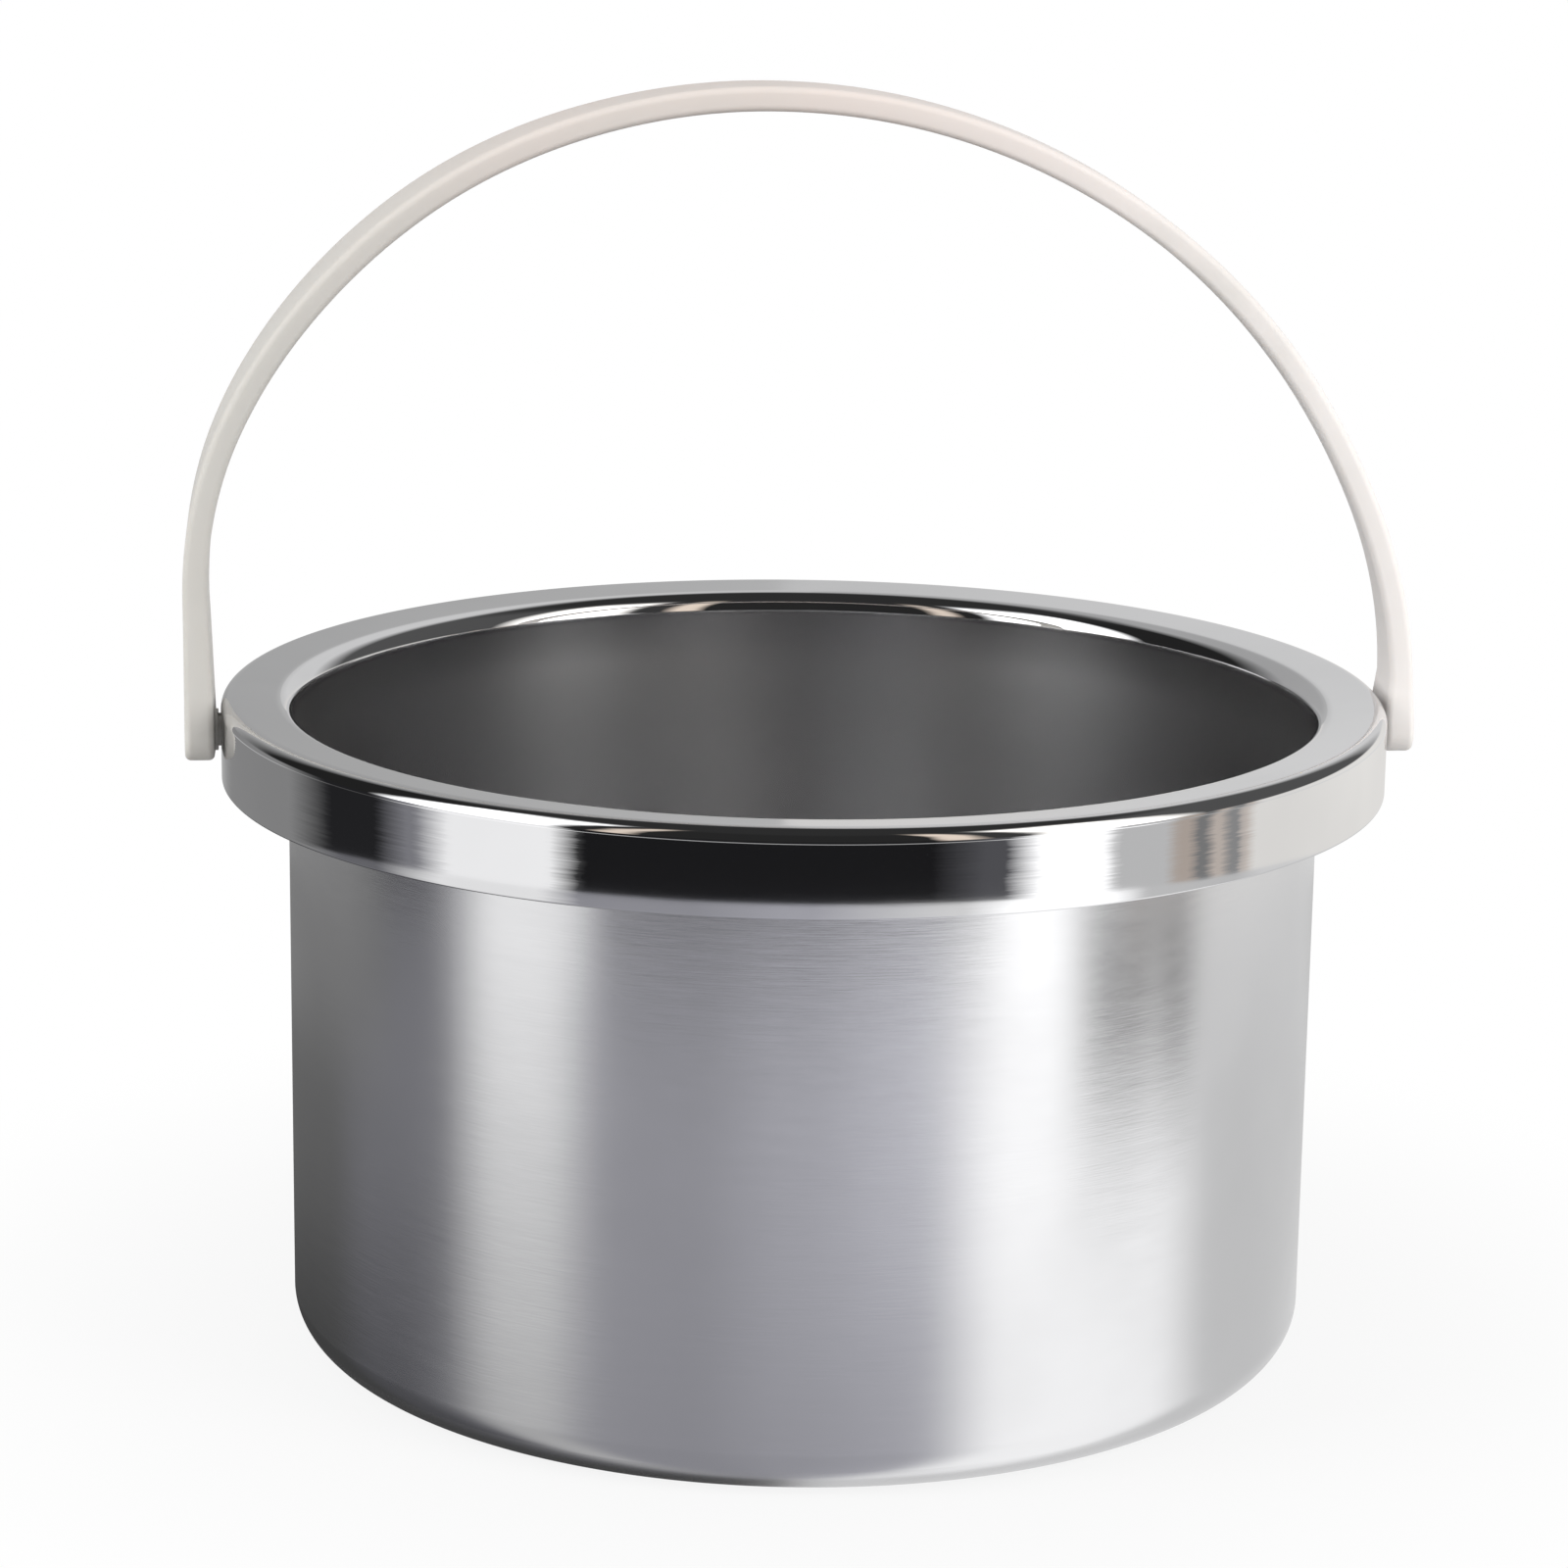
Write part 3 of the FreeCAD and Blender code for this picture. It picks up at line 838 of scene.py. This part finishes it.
# The room is turned about the pot's axis. Its cards stand on a ring that only the metal sees:
# from and to in degrees from the camera, to the right, and how bright each one is.
studio = {
    "turn": -5.5,
    "tableRadius": 0.291,
    "domeRadius": 1.6,
    "worldFill": 0.75,
    "camera": (-0.00195, -0.4543, 0.16765),
    "tilt": 13.60,
    "roll": 0.80,
    "lens": 103.06,
    "cardGlow": 1.6,
    "deepCards": [
        (-180, -125, grey(0.036)), (-110, -96, cool(0.05)), (-82, -82, cool(0.09)),
        (-69, -57, grey(0.30)), (-45, -20, cool(0.18)), (-2, 2, cool(0.22)), (24, 28, cool(0.27)),
        (44, 88, grey(0.68)), (102, 130, grey(0.42)), (160, 180, grey(0.48)),
    ],
    "floorCards": [
        (-180, -125, grey(0.085)), (-110, -84, cool(0.13)), (-70, -54, grey(0.50)),
        (-43, -20, cool(0.21)), (-2, 2, cool(0.28)), (24, 28, cool(0.34)),
        (44, 88, grey(0.76)), (102, 180, grey(0.42)),
    ],
    "shoulderCards": [
        (-180, -105, grey(0.135)), (-98, -83, cool(0.14)), (-71, -55, grey(0.62)),
        (-44, -20, cool(0.25)), (-2, 2, cool(0.36)), (24, 26, cool(0.55)),
        (40, 56, grey(0.85)), (67, 78, grey(0.02)), (81, 83, grey(0.22)), (86, 90, grey(0.04)),
        (98, 150, grey(0.44)), (170, 180, grey(0.36)),
    ],
    "trimCards": [
        (-180, -110, grey(0.18)), (-98, -88, cool(0.10)), (-72, -50, grey(0.60)),
        (-42, -20, cool(0.20)), (-2, 2, cool(0.27)), (28, 30, grey(0.50)),
        (40, 60, grey(0.88)), (68, 90, grey(0.38)), (98, 180, grey(0.48)),
    ],
    "lowCards": [
        (-180, -168, grey(0.29)), (-150, -116, grey(0.17)), (-102, -88, cool(0.012)),
        (-80, -78, cool(0.15)), (-70, -48, grey(0.68)), (-42, 24, cool(0.008)),
        (34, 38, cool(0.06)), (45, 58, grey(0.88)), (61, 72, grey(0.36)),
        (75, 78, (0.30, 0.26, 0.23)), (80, 82, grey(0.14)), (84, 86, (0.36, 0.32, 0.29)),
        (88, 90, grey(0.19)), (92, 93, (0.42, 0.38, 0.35)), (95, 140, (0.56, 0.55, 0.53)),
        (170, 180, (0.46, 0.45, 0.44)),
    ],
    "lineCards": [
        (-180, -120, grey(0.30)), (-100, -88, grey(0.05)), (-74, -48, grey(0.80)),
        (-41, 34, grey(0.35)), (44, 66, grey(0.90)), (75, 92, grey(0.30)), (97, 180, grey(0.50)),
    ],
    "highCards": [
        (-180, -180, grey(0.32)), (-174, -145, grey(0.27)), (-122, -88, grey(0.012)),
        (-80, -50, grey(1.5)), (-44, -39, grey(0.015)), (-36, -33, (0.55, 0.47, 0.40)),
        (-30, 24, grey(0.015)), (27, 31, (0.60, 0.51, 0.43)), (35, 42, grey(0.03)),
        (49, 68, (1.5, 1.46, 1.4)), (80, 135, grey(0.06)), (152, 173, grey(0.44)),
        (180, 180, grey(0.38)),
    ],
    # height of the direction at which each ring takes over from the one below it
    "levels": [
        ("floorCards", -0.36, -0.29), ("shoulderCards", -0.285, -0.25),
        ("trimCards", -0.227, -0.224), ("lowCards", -0.2105, -0.2095),
        ("lineCards", -0.165, -0.155), ("lowCards", -0.115, -0.105), ("highCards", 0.06, 0.14),
    ],
    "levelTilt": 0.006,
    "ceiling": 0.02,
    "ceilingEdge": (0.75, 0.90),
    "tableTone": (0.62, 0.62, 0.62, 1),
    "tableRoughness": 0.6,
    "tableSides": 128,
    "fadeEdge": (0.05, 0.12),    # from the axis, where the table turns white
    "whiteNear": 0.86,
    # name, place, width, height and power of each lamp, and the spot they all shine at
    "lamps": [("leftSoftbox", (-0.80, -0.34, 0.45), 0.45, 0.9, 6.0),
              ("rightSoftbox", (0.75, -0.50, 0.45), 0.4, 0.9, 7.0)],
    "lampTarget": (0, 0, 0.05),
}


def pointedAt(place, target):
    # matrix of a lamp at place that shines at target
    back = (Vector(place) - Vector(target)).normalized()
    return Matrix.Translation(place) @ back.to_track_quat("Z", "Y").to_matrix().to_4x4()


roomTurn = Matrix.Rotation(math.radians(studio["turn"]), 4, "Z")


def softLamp(name, place, width, height, power):
    data = bpy.data.lights.new(name, "AREA")
    data.shape = "RECTANGLE"
    data.size = width
    data.size_y = height
    data.energy = power
    lamp = bpy.data.objects.new(name, data)
    lamp.matrix_world = roomTurn @ pointedAt(place, studio["lampTarget"])
    lamp.visible_glossy = False
    scene.collection.objects.link(lamp)


def roundTheRoom(tree):
    # 0 to 1 once round the room with the camera at 0.5, and the height of the direction
    way = separated(tree, vectorCalc(tree, "NORMALIZE", objectPlace(tree)))
    ahead = calc(tree, "MULTIPLY", way["Y"], -1.0)
    azimuth = calc(tree, "ARCTAN2", way["X"], ahead)
    height = calc(tree, "ADD", way["Z"], calc(tree, "MULTIPLY", ahead, studio["levelTilt"]))
    return calc(tree, "ADD", calc(tree, "DIVIDE", azimuth, math.tau), 0.5), height


def cardRing(tree, share, name):
    stops = [(place, colour) for first, last, colour in studio[name] for place in (first, last)]
    ramp = addNode(tree, "ShaderNodeValToRGB")
    ramp.label = name
    ramp.color_ramp.interpolation = "LINEAR"
    elements = ramp.color_ramp.elements
    while len(elements) < len(stops):
        elements.new(0.5)
    for element, (degrees, colour) in zip(elements, stops):
        element.position = degrees / 360 + 0.5
        element.color = (*colour, 1)
    tree.links.new(share, ramp.inputs[0])
    return ramp.outputs[0]


def tableTop():
    mesh = bpy.data.meshes.new("tableTop")
    radius, sides = studio["tableRadius"], studio["tableSides"]
    ringPoints = [(radius * math.cos(a), radius * math.sin(a), 0)
                  for a in np.linspace(0, math.tau, sides, endpoint=False)]
    mesh.from_pydata(ringPoints, [], [list(range(sides))])
    table = bpy.data.objects.new("tableTop", mesh)
    table.matrix_world = roomTurn
    scene.collection.objects.link(table)
    material, tree, shader = newMaterial("paleTable")
    feed(tree, shader, {"Base Color": studio["tableTone"], "Roughness": studio["tableRoughness"]})
    # seen by the camera the table fades to white round the soft shadow
    path = addNode(tree, "ShaderNodeLightPath")
    outward = softStep(tree, vectorCalc(tree, "LENGTH", objectPlace(tree)), *studio["fadeEdge"])
    white = addNode(tree, "ShaderNodeEmission", None, {"Strength": 1.0})
    lift = calc(tree, "MULTIPLY", path.outputs["Is Camera Ray"],
                blendNumber(tree, outward, studio["whiteNear"], 1.0))
    mixed = addNode(tree, "ShaderNodeMixShader", None,
                    {0: lift, 1: shader.outputs[0], 2: white.outputs[0]})
    tree.links.new(mixed.outputs[0], tree.nodes["Material Output"].inputs["Surface"])
    mesh.materials.append(material)
    table.visible_glossy = False


def studioDome():
    # what the metal mirrors: rings of soft cards, chosen by direction, under a dark ceiling
    bpy.ops.mesh.primitive_uv_sphere_add(segments=96, ring_count=48, radius=studio["domeRadius"])
    dome = bpy.context.object
    dome.name = "studioDome"
    dome.matrix_world = roomTurn
    for polygon in dome.data.polygons:
        polygon.use_smooth = True
    material, tree, shader = newMaterial("studioCards")
    tree.nodes.remove(shader)
    share, height = roundTheRoom(tree)
    colour = cardRing(tree, share, "deepCards")
    for name, start, end in studio["levels"]:
        above = softStep(tree, height, start, end)
        colour = blendColour(tree, above, colour, cardRing(tree, share, name))
    overhead = softStep(tree, height, *studio["ceilingEdge"])
    colour = blendColour(tree, overhead, colour, (*grey(studio["ceiling"]), 1))
    glow = addNode(tree, "ShaderNodeEmission", None,
                   {"Color": colour, "Strength": studio["cardGlow"]})
    tree.links.new(glow.outputs[0], tree.nodes["Material Output"].inputs["Surface"])
    dome.data.materials.append(material)
    dome.visible_camera = False
    dome.visible_diffuse = False
    dome.visible_shadow = False
    dome.visible_transmission = False
    dome.visible_volume_scatter = False


def whiteWorld():
    world = bpy.data.worlds.new("whiteRoom")
    scene.world = world
    world.use_nodes = True
    tree = world.node_tree
    tree.nodes.clear()
    rays = addNode(tree, "ShaderNodeLightPath").outputs
    mirrored = calc(tree, "MAXIMUM", rays["Is Glossy Ray"], rays["Is Transmission Ray"])
    seen = calc(tree, "MAXIMUM", rays["Is Camera Ray"], mirrored)
    strength = blendNumber(tree, seen, studio["worldFill"], 1.0)
    background = addNode(tree, "ShaderNodeBackground", None,
                         {"Color": (1, 1, 1, 1), "Strength": strength})
    addNode(tree, "ShaderNodeOutputWorld", None, {"Surface": background.outputs[0]})


def addCamera():
    tilt, roll = math.radians(studio["tilt"]), math.radians(studio["roll"])
    ahead = Vector((0, math.cos(tilt), -math.sin(tilt)))
    right = Vector((1, 0, 0))
    up = Vector((0, math.sin(tilt), math.cos(tilt)))
    cameraX = right * math.cos(roll) + up * math.sin(roll)
    cameraY = up * math.cos(roll) - right * math.sin(roll)
    data = bpy.data.cameras.new("productCamera")
    data.lens = studio["lens"]
    data.sensor_width = 36.0
    data.clip_start = 0.01
    camera = bpy.data.objects.new("productCamera", data)
    turn = Matrix((cameraX, cameraY, -ahead)).transposed()
    camera.matrix_world = roomTurn @ Matrix.Translation(studio["camera"]) @ turn.to_4x4()
    scene.collection.objects.link(camera)
    scene.camera = camera


tableTop()
studioDome()
whiteWorld()
addCamera()
for lamp in studio["lamps"]:
    softLamp(*lamp)
scene.view_settings.view_transform = "Standard"
print("studio ready")
